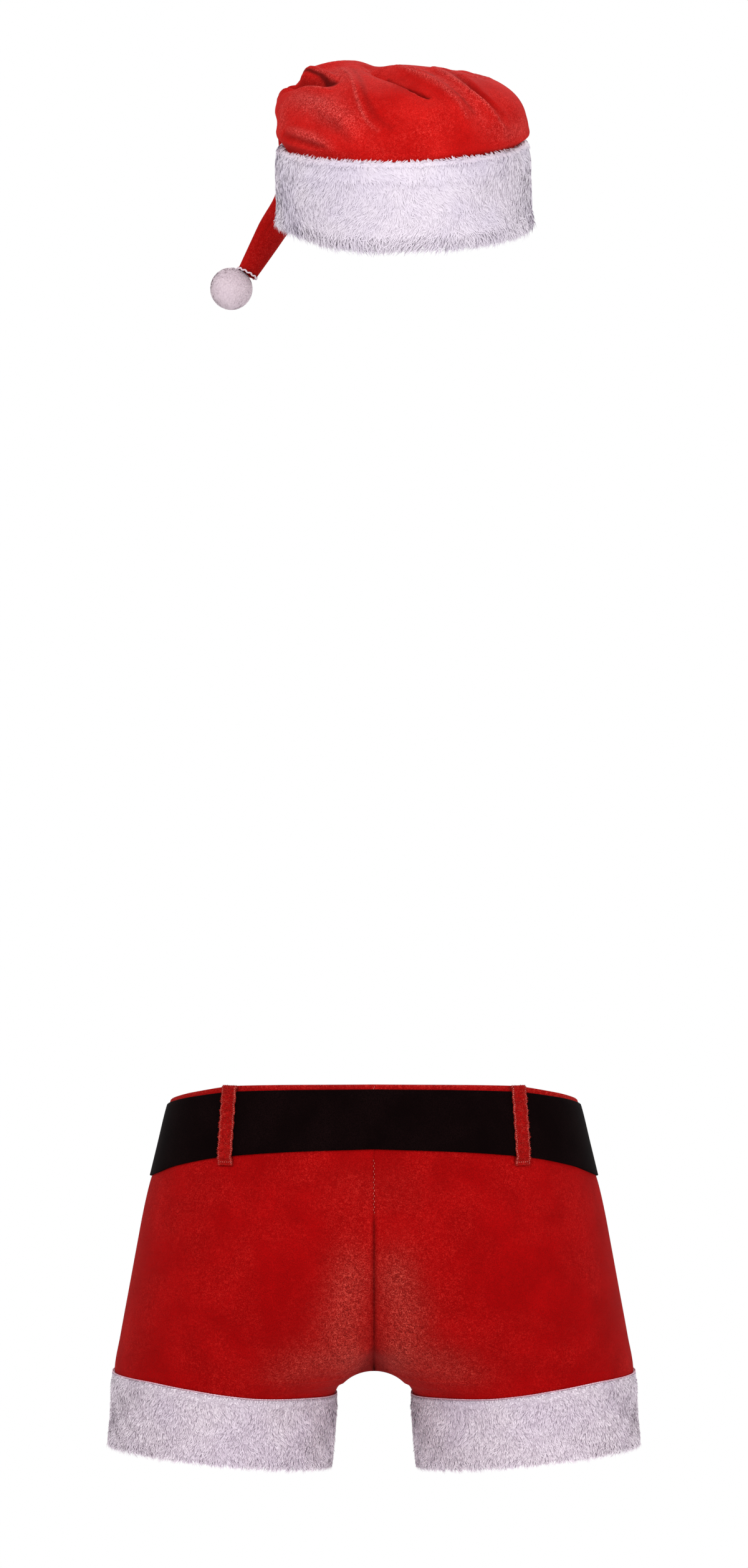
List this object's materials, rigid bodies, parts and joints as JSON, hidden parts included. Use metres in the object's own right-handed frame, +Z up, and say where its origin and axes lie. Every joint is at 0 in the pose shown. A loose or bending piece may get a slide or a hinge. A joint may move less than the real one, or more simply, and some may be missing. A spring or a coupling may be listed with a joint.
{
  "type": "santa shorts and hat set",
  "caption": "Red plush santa shorts with white fur cuffs and a black belt in loops, and a red santa hat with a white fur band and pompom, both held in their worn places and hollow.",
  "frame": {"origin": "centre of the wearer's waist, level with the waistband's top edge at the side seams", "axes": "+Z up along the wearer, +Y towards the wearer's front and away from the picture's viewpoint, +X to the wearer's right"},
  "size_m": [0.4282, 0.2573, 1.1309],
  "materials": {
    "red_plush": "short-pile red plush with a soft sheen",
    "white_fur": "soft white imitation fur",
    "black_cloth": "matte black cloth with a faint sheen"
  },
  "bodies": {
    "root": {"shorts_back_left": "red_plush", "shorts_back_right": "red_plush", "shorts_front_left": "red_plush", "shorts_front_right": "red_plush", "waistband": "red_plush", "belt_loop_back_left": "red_plush", "belt_loop_back_right": "red_plush", "belt_loop_front_left": "red_plush", "belt_loop_front_right": "red_plush", "belt": "black_cloth", "cuff_left": "white_fur", "cuff_right": "white_fur", "hat_band": "white_fur", "pompom": "white_fur", "hat_crown_near": "red_plush", "hat_crown_far": "red_plush"}
  },
  "joints": []
}
